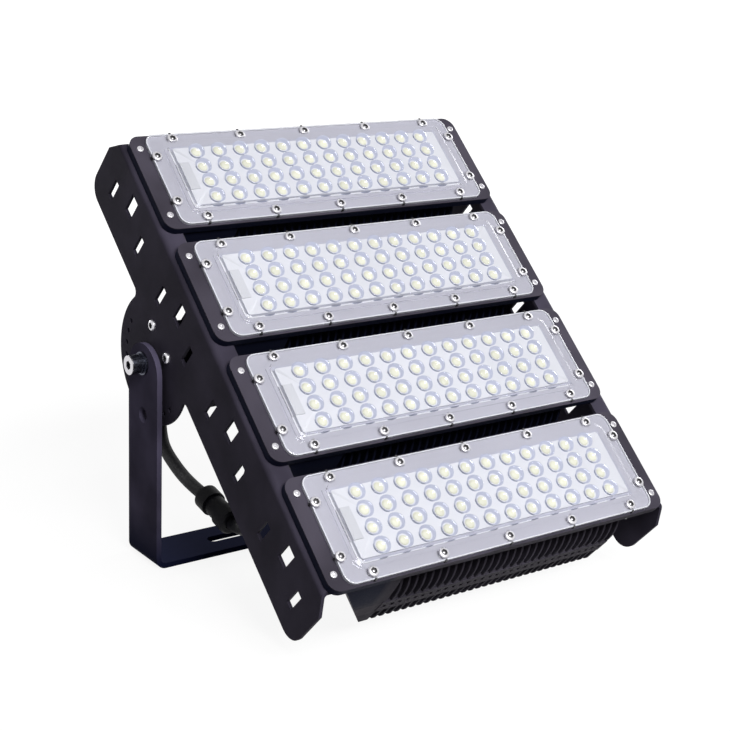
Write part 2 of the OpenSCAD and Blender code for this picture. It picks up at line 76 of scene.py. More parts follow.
# Points this close are one, in millimetres
WELD = 1e-4
# Angle between faces past which the edge between them is sharp, in degrees
SHARP = 40.0


# Settings


def length_prop(label, about, default):
    """A size in millimetres."""
    return bpy.props.FloatProperty(name=label, description=f"{about}, in mm", default=default)


def colour_prop(label, about, default):
    """A colour as linear light."""
    return bpy.props.FloatVectorProperty(
        name=label, description=about, subtype="COLOR", size=3, default=default, min=0.0, max=1.0)


class HeadSettings(bpy.types.PropertyGroup):
    """Where the flat head lies on its tilt axis."""

    aim: bpy.props.FloatProperty(
        name="Aim", description="Angle of the face above level, in degrees", default=48.0)
    pivot_v: length_prop("Axis height", "Tilt axis up the face from the middle", 47.5)
    pivot_depth: length_prop("Axis depth", "Tilt axis behind the flanges", 80.0)
    module_pitch: length_prop("Module pitch", "Distance between modules", 95.0)
    module_u: length_prop("Module shift", "Modules to the right of the middle", -2.0)
    base_t: length_prop("Base thickness", "Thickness of a module's base plate", 6.0)
    plate_u: length_prop("Plate face", "Outer face of a side plate from the middle", 152.5)


class CoverSettings(bpy.types.PropertyGroup):
    """Sizes of the clear lens covers and of the boards under them."""

    length: length_prop("Length", "Length of a cover", 272.4)
    height: length_prop("Height", "Height of a cover", 80.0)
    thick: length_prop("Flange", "Thickness of the flange", 3.0)
    corner: length_prop("Corner", "Radius of the corners", 8.0)
    field_l: length_prop("Field length", "Length of the raised field", 246.0)
    field_h: length_prop("Field height", "Height of the raised field", 58.0)
    field_rise: length_prop("Field rise", "Rise of the field above the flange", 4.0)
    step: length_prop("Step", "Width of the step round the field", 3.0)
    wall: length_prop("Wall", "Wall of the field", 2.0)
    columns: bpy.props.IntProperty(name="Columns", description="Lenses in a row", default=12)
    rows: bpy.props.IntProperty(name="Rows", description="Rows of lenses", default=4)
    pitch_u: length_prop("Pitch along", "Lens pitch along the cover", 18.53)
    pitch_v: length_prop("Pitch up", "Lens pitch up the cover", 13.4)
    lens_d: length_prop("Lens", "Diameter of a lens", 12.6)
    lens_rise: length_prop("Lens rise", "Height of a lens", 4.5)
    board_l: length_prop("Board length", "Length of the LED board", 238.0)
    board_h: length_prop("Board height", "Height of the LED board", 51.0)
    board_t: length_prop("Board thickness", "Thickness of the LED board", 1.6)


class FinishSettings(bpy.types.PropertyGroup):
    """Colours of the finishes, as linear light."""

    coat: colour_prop("Powder coat", "Side plates and bracket", (0.064, 0.057, 0.084))
    cast: colour_prop("Heat sink", "Fins and base plates", (0.07, 0.063, 0.084))
    steel: colour_prop("Steel", "Bolts, washers and screws", (0.62, 0.61, 0.64))
    board: colour_prop("Board", "White board under the lenses", (0.76, 0.76, 0.78))
    chip: colour_prop("LED", "Phosphor of the LEDs", (0.86, 0.85, 0.66))
    clear: colour_prop("Cover", "Clear lens covers", (0.95, 0.96, 1.0))
    seal: colour_prop("Seal", "Pale seals under the covers' flanges", (0.47, 0.46, 0.51))
    # The collar's colour is painted shade, seen as crescents in the lenses
    shade_collar: colour_prop("Collar", "Collars of the lenses round the LEDs", (0.47, 0.49, 0.6))
    nylon: colour_prop("Nylon", "Glands, connector and leads", (0.006, 0.006, 0.009))


class FLOODLIGHT_Settings(bpy.types.PropertyGroup):
    """All settings of the floodlight."""

    head: bpy.props.PointerProperty(type=HeadSettings)
    cover: bpy.props.PointerProperty(type=CoverSettings)
    finish: bpy.props.PointerProperty(type=FinishSettings)


def settings():
    """The floodlight's settings in this scene."""
    return bpy.context.scene.floodlight


# Places


def face_ways():
    """Unit directions out of the tilted face and up it, from the sine and cosine of the aim."""
    aim = np.radians(settings().head.aim)
    sine, cosine = np.sin(aim), np.cos(aim)
    return np.array([0.0, -cosine, sine]), np.array([0.0, sine, cosine])


def head_points(uvw):
    """Points of the flat head, turned about the tilt axis to the aim: u runs across, v up the tilted face
    and w out of it, each times its direction."""
    head = settings().head
    out, up = face_ways()
    place = (uvw[..., :1] * ACROSS + (uvw[..., 1:2] - head.pivot_v) * up
             + (uvw[..., 2:] + head.pivot_depth) * out)
    return (place + PIVOT) * MM


def module_v(i):
    """Height of a module's middle up the face; 1 is the top module."""
    return ((len(MODULES) + 1) / 2 - i) * settings().head.module_pitch


def lens_places():
    """Middles of the lenses of one module: a centred grid at the two pitches, with w = 0."""
    cover = settings().cover
    u = (np.arange(cover.columns) - (cover.columns - 1) / 2) * cover.pitch_u
    v = (np.arange(cover.rows) - (cover.rows - 1) / 2) * cover.pitch_v
    return np.stack(np.meshgrid(u, v, 0.0, indexing="ij"), axis=-1).reshape(-1, 3)


# Meshes


def grid_quads(rows, columns, close=False):
    """Quads between neighbouring points of a grid with that many rows and columns, row by row."""
    across = columns if close else columns - 1
    r, c = np.meshgrid(np.arange(rows - 1), np.arange(across), indexing="ij")
    n = (c + 1) % columns
    return np.stack([r * columns + c, r * columns + n, (r + 1) * columns + n, (r + 1) * columns + c],
                    axis=-1).reshape(-1, 4)


def repeat_shape(points, quads, places):
    """The same shape at every place: points of all copies, and quads that count on through the copies."""
    copies = points[None] + places[:, None]
    shift = np.arange(len(places))[:, None, None] * len(points)
    return copies.reshape(-1, 3), (quads[None] + shift).reshape(-1, 4)


def join_shapes(*shapes):
    """One list of points and quads from several."""
    points = np.concatenate([p for p, _ in shapes])
    starts = np.cumsum([0] + [len(p) for p, _ in shapes[:-1]])
    quads = np.concatenate([q + s for (_, q), s in zip(shapes, starts)])
    return points, quads


def weld(points, quads):
    """Merges points that lie together, and drops sides and faces that shrink to nothing."""
    _, first, index = np.unique(np.round(points / WELD).astype(np.int64), axis=0,
                                return_index=True, return_inverse=True)
    quads = index.reshape(-1)[quads]
    same = quads == np.roll(quads, -1, axis=1)
    faces = [q[~s].tolist() for q, s in zip(quads, same) if (~s).sum() > 2]
    return points[first], faces


def add_piece(name, points, quads, material, body, sharp=SHARP):
    """Puts welded points, already in the frame, into a mesh object that rides on a body."""
    spots, faces = weld(points / MM, quads)
    mesh = bpy.data.meshes.new(name)
    mesh.from_pydata((spots * MM).tolist(), [], faces)
    mesh.materials.append(material)
    mesh.polygons.foreach_set("use_smooth", np.ones(len(mesh.polygons), bool))
    mesh.set_sharp_from_angle(angle=np.radians(sharp))
    if mesh.validate():
        raise RuntimeError(f"{name} has faces that are not sound")
    piece = bpy.data.objects.new(name, mesh)
    bpy.context.scene.collection.objects.link(piece)
    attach(piece, body)
    return piece


def revolved(profile, sides, hex_rings=()):
    """A profile of radius and height turned round the w axis; rings named in hex_rings become hexagons.
    A hexagon's radius is that of its flats divided by the cosine of the angle from the nearest flat."""
    profile = np.asarray(profile, float)
    turn = np.arange(sides) * 2 * np.pi / sides
    radius = np.repeat(profile[:, :1], sides, axis=1)
    flat = 1 / np.cos((turn + np.pi / 6) % (np.pi / 3) - np.pi / 6)
    radius[list(hex_rings)] *= flat
    points = np.stack([radius * np.cos(turn), radius * np.sin(turn),
                       np.repeat(profile[:, 1:], sides, axis=1)], axis=-1)
    return points.reshape(-1, 3), grid_quads(len(profile), sides, close=True)


def rounded_loop(half_l, half_h, radius, sides_l, sides_h, arc=8):
    """A rectangle's outline with round corners: straight sides in equal steps and corner arcs of equal
    angles, anticlockwise from the right end of the lower side."""
    turn = np.linspace(0, np.pi / 2, arc + 1)
    corners = ((1, -1, -1, sides_h), (1, 1, 0, sides_l), (-1, 1, 1, sides_h), (-1, -1, 2, sides_l))
    loop = []
    for x, y, quarter, steps in corners:
        angle = turn + quarter * np.pi / 2
        loop.append(np.stack([x * (half_l - radius) + radius * np.cos(angle),
                              y * (half_h - radius) + radius * np.sin(angle)], axis=-1))
        start = loop[-1][-1]
        run = 2 * (half_h - radius) if quarter in (-1, 1) else 2 * (half_l - radius)
        heading = np.array([np.cos(angle[-1] + np.pi / 2), np.sin(angle[-1] + np.pi / 2)])
        share = np.arange(1, steps)[:, None] / steps
        loop.append(start + share * run * np.round(heading))
    return np.concatenate(loop)


def lofted(rings, sides_l=1, sides_h=1):
    """Rounded rectangles joined one to the next; each ring gives half length, half height, radius and w."""
    loops = np.stack([np.pad(rounded_loop(a, b, r, sides_l, sides_h), ((0, 0), (0, 1)), constant_values=w)
                      for a, b, r, w in rings])
    return loops.reshape(-1, 3), grid_quads(len(rings), loops.shape[1], close=True)


def on_module(points, i):
    """Moves points of one module up the face to its place, and onto the tilted head."""
    return head_points(points + [settings().head.module_u, module_v(i), 0.0])


# Finishes


# Fine waves of a finish's grain in one wide wave of its shade
FINE_TO_WIDE = 60
CLEAR_IOR = 1.5
# Waves in a metre of the clear plastic's ripple, and the roughness that it runs between
RIPPLE = 90.0
RIPPLE_ROUGH = (0.02, 0.07)


def new_material(name):
    """A new node material, with its nodes, links and Principled shader."""
    material = bpy.data.materials.new(name)
    material.use_nodes = True
    nodes, links = material.node_tree.nodes, material.node_tree.links
    return material, nodes, links, nodes["Principled BSDF"]


def object_noise(nodes, links, scale):
    """A noise texture on Object coordinates, whose scale counts waves in a metre."""
    place = nodes.new("ShaderNodeTexCoord")
    noise = nodes.new("ShaderNodeTexNoise")
    noise.inputs["Scale"].default_value = scale
    links.new(place.outputs["Object"], noise.inputs["Vector"])
    return noise.outputs["Fac"]


def spread(nodes, links, source, low, high, start=0.35, stop=0.65):
    """A value from low to high as the source goes from start to stop, by default the range of most noise."""
    node = nodes.new("ShaderNodeMapRange")
    node.inputs["From Min"].default_value = start
    node.inputs["From Max"].default_value = stop
    node.inputs["To Min"].default_value = low
    node.inputs["To Max"].default_value = high
    links.new(source, node.inputs["Value"])
    return node.outputs["Result"]


def ramp(nodes, links, place, zero, ends, low=0.0, high=1.0):
    """A value from low to high as a place in metres goes between two ends, in millimetres past zero."""
    start, stop = ((zero + end) * MM for end in ends)
    return spread(nodes, links, place, low, high, start, stop)


def along(nodes, links, way):
    """How far a point of the object lies along that direction from its origin, in metres."""
    place = nodes.new("ShaderNodeTexCoord")
    dot = nodes.new("ShaderNodeVectorMath")
    dot.operation = "DOT_PRODUCT"
    links.new(place.outputs["Object"], dot.inputs[0])
    dot.inputs[1].default_value = way
    return dot.outputs["Value"]


def of_both(nodes, links, operation, first, second, clamp=False):
    """Two values joined by that operation, and kept from 0 to 1 if clamped."""
    node = nodes.new("ShaderNodeMath")
    node.operation = operation
    node.use_clamp = clamp
    links.new(first, node.inputs[0])
    links.new(second, node.inputs[1])
    return node.outputs["Value"]


def tint(nodes, links, factor, dark, light):
    """A colour between dark and light by the factor."""
    node = nodes.new("ShaderNodeMix")
    node.data_type = "RGBA"
    links.new(factor, node.inputs["Factor"])
    node.inputs["A"].default_value = (*dark, 1.0)
    node.inputs["B"].default_value = (*light, 1.0)
    return node.outputs["Result"]


def fade(material, keep, dark):
    """Fades a finish to a colour of painted light or shade where the value keep falls to 0; the argument dark is
    that colour, darker or lighter than the finish.
    """
    nodes, links = material.node_tree.nodes, material.node_tree.links
    socket = nodes["Principled BSDF"].inputs["Base Color"]
    node = nodes.new("ShaderNodeMix")
    node.data_type = "RGBA"
    links.new(keep, node.inputs["Factor"])
    node.inputs["A"].default_value = (*dark, 1.0)
    links.new(socket.links[0].from_socket, node.inputs["B"])
    links.new(node.outputs["Result"], socket)


def blend(nodes, links, factor, first, second):
    """A surface that goes from the first shader to the second by the factor."""
    mix = nodes.new("ShaderNodeMixShader")
    links.new(factor, mix.inputs["Fac"])
    links.new(first, mix.inputs[1])
    links.new(second, mix.inputs[2])
    return mix.outputs["Shader"]


def grainy(name, colour, rough, grain, bump, depth, metal=0.0, shift=0.25, specular=0.5):
    """A finish with fine grain: noise of that many waves in a metre moves roughness and height, the height
    by depth in millimetres, and wider noise shifts the colour by a share either way."""
    material, nodes, links, shader = new_material(name)
    fine = object_noise(nodes, links, grain)
    wide = object_noise(nodes, links, grain / FINE_TO_WIDE)
    shade = spread(nodes, links, wide, 0.0, 1.0)
    colour = np.asarray(colour)
    links.new(tint(nodes, links, shade, colour * (1 - shift), colour * (1 + shift)),
              shader.inputs["Base Color"])
    links.new(spread(nodes, links, fine, *rough), shader.inputs["Roughness"])
    height = nodes.new("ShaderNodeBump")
    height.inputs["Strength"].default_value = bump
    height.inputs["Distance"].default_value = depth * MM
    links.new(fine, height.inputs["Height"])
    links.new(height.outputs["Normal"], shader.inputs["Normal"])
    shader.inputs["Metallic"].default_value = metal
    shader.inputs["Specular IOR Level"].default_value = specular
    return material


def clear_plastic(name, colour):
    """Clear polycarbonate: glass to sight, while light on its way to and from the board passes straight."""
    material, nodes, links, shader = new_material(name)
    shader.inputs["Base Color"].default_value = (*colour, 1.0)
    shader.inputs["Transmission Weight"].default_value = 1.0
    shader.inputs["IOR"].default_value = CLEAR_IOR
    ripple = object_noise(nodes, links, RIPPLE)
    links.new(spread(nodes, links, ripple, *RIPPLE_ROUGH), shader.inputs["Roughness"])
    path = nodes.new("ShaderNodeLightPath")
    passing = nodes.new("ShaderNodeBsdfTransparent")
    passing.inputs["Color"].default_value = (*colour, 1.0)
    surface = shader.outputs["BSDF"]
    for kind in ("Is Diffuse Ray", "Is Shadow Ray"):
        surface = blend(nodes, links, path.outputs[kind], surface, passing.outputs["BSDF"])
    links.new(surface, nodes["Material Output"].inputs["Surface"])
    return material


FINISHES = {}


class FLOODLIGHT_OT_finishes(bpy.types.Operator):
    """Makes the finishes and gives them to the frame's own pieces."""

    bl_idname = "floodlight.finishes"
    bl_label = "Finishes"

    # Colours of painted shade and light that parts of a finish fade to: shade in the sinks' gaps, light from below
    # on their rails, shade at the bracket's foot and shade along the bolts
    PAINTED_GAP_SHADE = (0.012, 0.014, 0.032)
    PAINTED_RAIL_LIGHT = (0.1, 0.09, 0.112)
    PAINTED_FOOT_SHADE = (0.012, 0.015, 0.045)
    PAINTED_BOLT_SHADE = (0.09, 0.095, 0.125)
    # Colours as shares of the coat's, the steel's and the board's; the recesses' dark steel is painted shade
    BRACKET_SHARE = (1.75, 1.75, 1.9)
    RECESS_PAINTED_SHADE_SHARE = 0.12
    BLOCK_SHARE = 0.85
    # Bands of w over which a sink's front face begins and its gaps end, with the painted shade between them, and
    # over which its rail, with painted light, begins and ends
    FACE_W = (5.0, 5.7)
    GAP_W = (-40.0, -26.0)
    RAIL_BACK_W = (-49.0, -48.0)
    RAIL_FRONT_W = (-35.0, -34.0)
    # Bands of the lowest fins, in v from the last module's middle, and of the wiring wedges' side, in x, where the
    # painted shade stops
    FINS_V = (-30.0, -15.0)
    WEDGE_X = (-103.0, -97.0)
    # Bands of a bolt's bright end, free of the painted shade, in x from the end, and of the painted shade towards
    # the bracket's foot, in z
    BOLT_X = (-1.2, -0.4)
    FOOT_Z = (4.0, 40.0)
    # Pieces whose finish isn't their slot's
    OWN_FINISH = {
        "bracket": "bracket_coat", "pivot_bolt_left": "bolt", "pivot_bolt_right": "bolt",
        "pivot_flat_washers": "bolt", "pivot_spring_washers": "bolt",
    }

    def coats(self):
        """A row for each grainy finish: its key and name, colour, range of roughness, waves in a metre,
        strength and depth of its bump, and what differs from grainy's defaults."""
        own = settings().finish
        coat, steel, board = np.array(own.coat), np.array(own.steel), np.array(own.board)
        return (
            ("black_coat", "powder_coat", coat, (0.42, 0.56), 1500.0, 0.35, 0.05, {"specular": 0.02}),
            ("bracket_coat", "bracket_coat", coat * self.BRACKET_SHARE, (0.4, 0.54), 1500.0, 0.35, 0.05,
             {"specular": 0.003}),
            ("black_cast", "cast_sink", own.cast, (0.45, 0.62), 1100.0, 0.5, 0.08, {"specular": 0.02}),
            ("zinc", "zinc_plate", steel, (0.24, 0.38), 900.0, 0.1, 0.02, {"metal": 1.0, "shift": 0.06}),
            ("bolt", "bolt_steel", steel, (0.22, 0.36), 900.0, 0.1, 0.02, {"metal": 1.0, "shift": 0.06}),
            # The recess finish is steel darkened as painted shade
            ("recess", "recess_shade", steel * self.RECESS_PAINTED_SHADE_SHARE, (0.3, 0.45), 900.0, 0.1, 0.02,
             {"metal": 0.6, "shift": 0.1}),
            ("board_white", "board_mask", board, (0.4, 0.55), 700.0, 0.1, 0.02, {"shift": 0.03}),
            ("pale_block", "terminal_pale", board * self.BLOCK_SHARE, (0.5, 0.6), 700.0, 0.1, 0.02,
             {"shift": 0.05}),
            ("pale_seal", "seal_pale", own.seal, (0.5, 0.65), 500.0, 0.1, 0.02, {"shift": 0.04}),
            # The collar's colour is painted shade, seen through the lenses as crescents
            ("shade_collar", "lens_shade_collar", own.shade_collar, (0.5, 0.65), 500.0, 0.1, 0.02, {"shift": 0.05}),
            ("black_nylon", "moulded_nylon", own.nylon, (0.45, 0.6), 800.0, 0.3, 0.05, {"specular": 0.12}),
            ("lead_rubber", "lead_sheath", own.nylon, (0.5, 0.66), 600.0, 0.3, 0.06, {"specular": 0.12}),
            ("led_phosphor", "led_phosphor", own.chip, (0.45, 0.6), 1600.0, 0.1, 0.02, {"shift": 0.06}),
        )

    def paint_sink_shade_and_rail_light(self, material):
        """Paints shade on the sinks in the gaps behind their front faces, but not on the lowest fins beside the
        wiring wedge, and paints light from below on the band of the rails."""
        nodes, links = material.node_tree.nodes, material.node_tree.links
        head = settings().head
        out, up = face_ways()
        front = head.pivot_depth + PIVOT @ out
        lowest = module_v(MODULES[-1]) - head.pivot_v + PIVOT @ up
        depth = along(nodes, links, out)
        face = ramp(nodes, links, depth, front, self.FACE_W)
        back = ramp(nodes, links, depth, front, self.GAP_W, 1.0, 0.0)
        fins = ramp(nodes, links, along(nodes, links, up), lowest, self.FINS_V, 1.0, 0.0)
        beside = ramp(nodes, links, along(nodes, links, ACROSS), 0.0, self.WEDGE_X)
        lit = of_both(nodes, links, "MULTIPLY", fins, beside)
        outside = of_both(nodes, links, "MAXIMUM", face, back)
        # Painted shade in the gaps between the modules' sinks
        fade(material, of_both(nodes, links, "MAXIMUM", outside, lit), self.PAINTED_GAP_SHADE)
        # Painted light from below on the band of the rails
        rail_light_band = of_both(nodes, links, "MULTIPLY",
                       ramp(nodes, links, depth, front, self.RAIL_BACK_W),
                       ramp(nodes, links, depth, front, self.RAIL_FRONT_W, 1.0, 0.0))
        fade(material, spread(nodes, links, rail_light_band, 1.0, 0.0, 0.0, 1.0), self.PAINTED_RAIL_LIGHT)

    def paint_bolt_shade(self, material):
        """Paints shade on the bolts and washers, but not on the faces at the bolts' two ends, which keep the
        bright steel.
        """
        nodes, links = material.node_tree.nodes, material.node_tree.links
        far = nodes.new("ShaderNodeMath")
        far.operation = "ABSOLUTE"
        links.new(along(nodes, links, ACROSS), far.inputs[0])
        end = CAD_BOX[1][0] / MM
        fade(material, ramp(nodes, links, far.outputs["Value"], end, self.BOLT_X), self.PAINTED_BOLT_SHADE)

    def paint_foot_shade(self, material):
        """Paints a dark blue shade on the bracket, darker towards its foot."""
        nodes, links = material.node_tree.nodes, material.node_tree.links
        fade(material, ramp(nodes, links, along(nodes, links, UPRIGHT), 0.0, self.FOOT_Z), self.PAINTED_FOOT_SHADE)

    def execute(self, context):
        for key, name, colour, rough, grain, bump, depth, more in self.coats():
            FINISHES[key] = grainy(name, colour, rough, grain, bump, depth, **more)
        FINISHES["clear_lens"] = clear_plastic("clear_cover", settings().finish.clear)
        # Painted shade and light on the sinks, painted shade at the bracket's foot and along the bolts
        self.paint_sink_shade_and_rail_light(FINISHES["black_cast"])
        self.paint_foot_shade(FINISHES["bracket_coat"])
        self.paint_bolt_shade(FINISHES["bolt"])
        for row in frame["record"]["subparts"]:
            mesh = frame["nodes"][row["node"]].data
            mesh.materials.clear()
            finish = self.OWN_FINISH.get(row["node"], row["material_slot"])
            mesh.materials.append(FINISHES[finish])
        return {"FINISHED"}


# Pieces


class FLOODLIGHT_OT_lens_covers(bpy.types.Operator):
    """Makes the clear covers: lens cells in a block, and a rim lofted round them down to the cavity."""

    bl_idname = "floodlight.lens_covers"
    bl_label = "Lens covers"

    CELL_STEPS = 8
    DOME_RINGS = 8
    COVER_SHARP = 35.0
    # How far the cavity's ceiling lies under the board's top, so that no air is between them
    SUNK = 0.1
    # Radius of a rounded edge, and the part of it by which its middle ring is set back
    SOFT = 0.5
    SET_BACK = 0.3

    def lens_cell(self, top):
        """One lens and its rectangle of field: rings of a ball's cap, then out to the rectangle's edge.
        The cap at angle a from its top has radius R sin a and height R cos a above the ball's middle."""
        cover = settings().cover
        base_r = cover.lens_d / 2
        ball_r = (base_r ** 2 + cover.lens_rise ** 2) / (2 * cover.lens_rise)
        edge = rounded_loop(cover.pitch_u / 2, cover.pitch_v / 2, 0.0, self.CELL_STEPS, self.CELL_STEPS,
                            arc=1)
        bearing = np.arctan2(edge[:, 1], edge[:, 0])
        angle = np.linspace(0, np.arcsin(base_r / ball_r), self.DOME_RINGS)[:, None]
        radius = ball_r * np.sin(angle) * np.ones_like(bearing)
        height = top + cover.lens_rise - ball_r * (1 - np.cos(angle)) * np.ones_like(bearing)
        dome = np.stack([radius * np.cos(bearing), radius * np.sin(bearing), height], axis=-1)
        rim = np.column_stack([edge, np.full(len(edge), top)])
        points = np.concatenate([dome.reshape(-1, 3), rim])
        return points, grid_quads(self.DOME_RINGS + 1, len(edge), close=True)

    def rim_rings(self, top):
        """Rings from the lens block over the field's edge, the step and the flange, and under to the cavity.
        An edge or foot of a wall is rounded by three rings, and a ring beside it keeps the flat even."""
        cover = settings().cover
        base = settings().head.base_t
        flange = base + cover.thick
        ledge = flange + cover.field_rise / 2
        ceiling = base + cover.board_t - self.SUNK
        soft, back = self.SOFT, self.SOFT * self.SET_BACK

        def ring(size, radius, inset, w):
            return size[0] / 2 - inset, size[1] / 2 - inset, max(radius - inset, 0.0), w

        def edge(size, radius, w):
            return (ring(size, radius, soft, w), ring(size, radius, back, w - back),
                    ring(size, radius, 0.0, w - soft))

        def foot(size, radius, w):
            return (ring(size, radius, 0.0, w + soft), ring(size, radius, -back, w + back),
                    ring(size, radius, -soft, w))

        block = (cover.columns * cover.pitch_u, cover.rows * cover.pitch_v)
        field = (cover.field_l, cover.field_h)
        step = (cover.field_l + 2 * cover.step, cover.field_h + 2 * cover.step)
        outer = (cover.length, cover.height)
        hollow = (cover.field_l - 2 * cover.wall, cover.field_h - 2 * cover.wall)
        corner, field_r = cover.corner, cover.corner - cover.step
        return [
            ring(block, 0.0, 0.0, top), ring(field, field_r, 2 * soft, top),
            *edge(field, field_r, top), *foot(field, field_r, ledge),
            *edge(step, corner, ledge), *foot(step, corner, flange), ring(step, corner, -2 * soft, flange),
            ring(outer, corner, 2 * soft, flange), *edge(outer, corner, flange),
            ring(outer, corner, 0.0, base + soft), ring(outer, corner, soft, base),
            ring(hollow, soft, 0.0, base), ring(hollow, soft, 0.0, ceiling),
            ((hollow[0] - hollow[1]) / 2, 0.0, 0.0, ceiling),
        ]

    def execute(self, context):
        cover = settings().cover
        top = settings().head.base_t + cover.thick + cover.field_rise
        cells = repeat_shape(*self.lens_cell(top), lens_places())
        steps = (self.CELL_STEPS * cover.columns, self.CELL_STEPS * cover.rows)
        points, quads = join_shapes(cells, lofted(self.rim_rings(top), *steps))
        for i in MODULES:
            piece = add_piece(f"clear_cover_{i}", on_module(points, i), quads[:, ::-1],
                              FINISHES["clear_lens"], "head", sharp=self.COVER_SHARP)
            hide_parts(f"lens_cover_{i}")
        return {"FINISHED"}


class FLOODLIGHT_OT_cover_seals(bpy.types.Operator):
    """Makes the pale seals seen through the covers' flanges: a flat ring, and a white rim at the edge."""

    bl_idname = "floodlight.cover_seals"
    bl_label = "Cover seals"

    # Set back from the cover's faces, reach under the board's edge, and radius of the seal's inner corners
    INSET = 0.3
    UNDER = 1.0
    HOLLOW_R = 0.5
    # Thickness of the seal and width of the rim
    THIN = 0.15
    RIM_WIDE = 0.7
    RING_STEPS = (4, 2)

    def flat_ring(self, outer, inner, low, high):
        """A ring between two rounded rectangles: down outside, in underneath, up inside and out on top."""
        rings = [(*outer, high), (*outer, low), (*inner, low), (*inner, high), (*outer, high)]
        return lofted(rings, *self.RING_STEPS)

    def execute(self, context):
        cover = settings().cover
        low = settings().head.base_t + self.INSET
        high = low + cover.thick - 3 * self.INSET
        outer = (cover.length / 2 - self.INSET, cover.height / 2 - self.INSET, cover.corner - self.INSET)
        inner = tuple(size - self.RIM_WIDE for size in outer)
        hollow = (cover.board_l / 2 - self.UNDER, cover.board_h / 2 - self.UNDER, self.HOLLOW_R)
        kinds = (
            ("cover_seal", "pale_seal", self.flat_ring(outer, hollow, low - self.THIN, low)),
            ("cover_rim", "board_white", self.flat_ring(outer, inner, low + self.THIN, high)),
        )
        for i in MODULES:
            for name, finish, (points, quads) in kinds:
                add_piece(f"{name}_{i}", on_module(points, i), quads[:, ::-1], FINISHES[finish],
                          "head")
        return {"FINISHED"}


class FLOODLIGHT_OT_led_boards(bpy.types.Operator):
    """Makes the white boards with their domed LEDs on pucks, lens collars of painted shade and terminal blocks,
    as they show through the covers; the collars show through the lenses as crescents."""

    bl_idname = "floodlight.led_boards"
    bl_label = "LED boards"

    # Radius and rise of an LED's dome and of the puck under it, and radius of the collar of painted shade round it
    PHOSPHOR_R = 2.4
    PHOSPHOR_RISE = 0.9
    PUCK_R = 3.0
    PUCK_RISE = 2.9
    COLLAR_R = 4.9
    # Half length, half height, corner radius and rise of a terminal block
    BLOCK = (4.0, 12.0, 0.6)
    BLOCK_RISE = 1.2
    BOARD_R = 2.0
    EDGE = 0.2
    DOME_RINGS = 7
    DOME_SIDES = 20
    PUCK_SIDES = 24
    COLLAR_SIDES = 28

    def slab(self, half_l, half_h, radius, low, high):
        """A plate with round corners: its wall, a slanted edge, and its top drawn in to a line or a point."""
        return lofted([
            (half_l, half_h, radius, low), (half_l, half_h, radius, high - self.EDGE),
            (half_l - self.EDGE, half_h - self.EDGE, radius, high),
            (max(half_l - half_h, 0.0), 0.0, 0.0, high),
        ])

    def execute(self, context):
        cover = settings().cover
        base = settings().head.base_t
        top = base + cover.board_t
        seat = top + self.PUCK_RISE
        board = self.slab(cover.board_l / 2, cover.board_h / 2, self.BOARD_R, base, top)
        puck = revolved([(self.PUCK_R, top), (self.PUCK_R, seat), (0.0, seat)], self.PUCK_SIDES)
        turn = np.linspace(0, np.pi / 2, self.DOME_RINGS)
        dome = np.column_stack([self.PHOSPHOR_R * np.cos(turn), seat + self.PHOSPHOR_RISE * np.sin(turn)])
        phosphor = revolved(dome, self.DOME_SIDES)
        shade_collar = revolved([(self.COLLAR_R + self.EDGE, top - self.EDGE),
                           (self.COLLAR_R, seat - 2 * self.EDGE),
                           (self.PUCK_R, seat - self.EDGE)], self.COLLAR_SIDES)
        block = self.slab(*self.BLOCK, top, top + self.BLOCK_RISE)
        block_place = np.array([[-cover.board_l / 2 + self.BLOCK[0], 0.0, 0.0]])
        places = lens_places()
        kinds = (
            ("white_board", "board_white", join_shapes(board, repeat_shape(*puck, places))),
            ("led_chips", "led_phosphor", repeat_shape(*phosphor, places)),
            ("lens_shade_collars", "shade_collar", repeat_shape(*shade_collar, places)),
            ("terminal_block", "pale_block", repeat_shape(*block, block_place)),
        )
        for i in MODULES:
            for name, finish, (points, quads) in kinds:
                piece = add_piece(f"{name}_{i}", on_module(points, i), quads, FINISHES[finish],
                                  "head")
                if name == "white_board":
                    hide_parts(f"led_board_{i}")
        return {"FINISHED"}


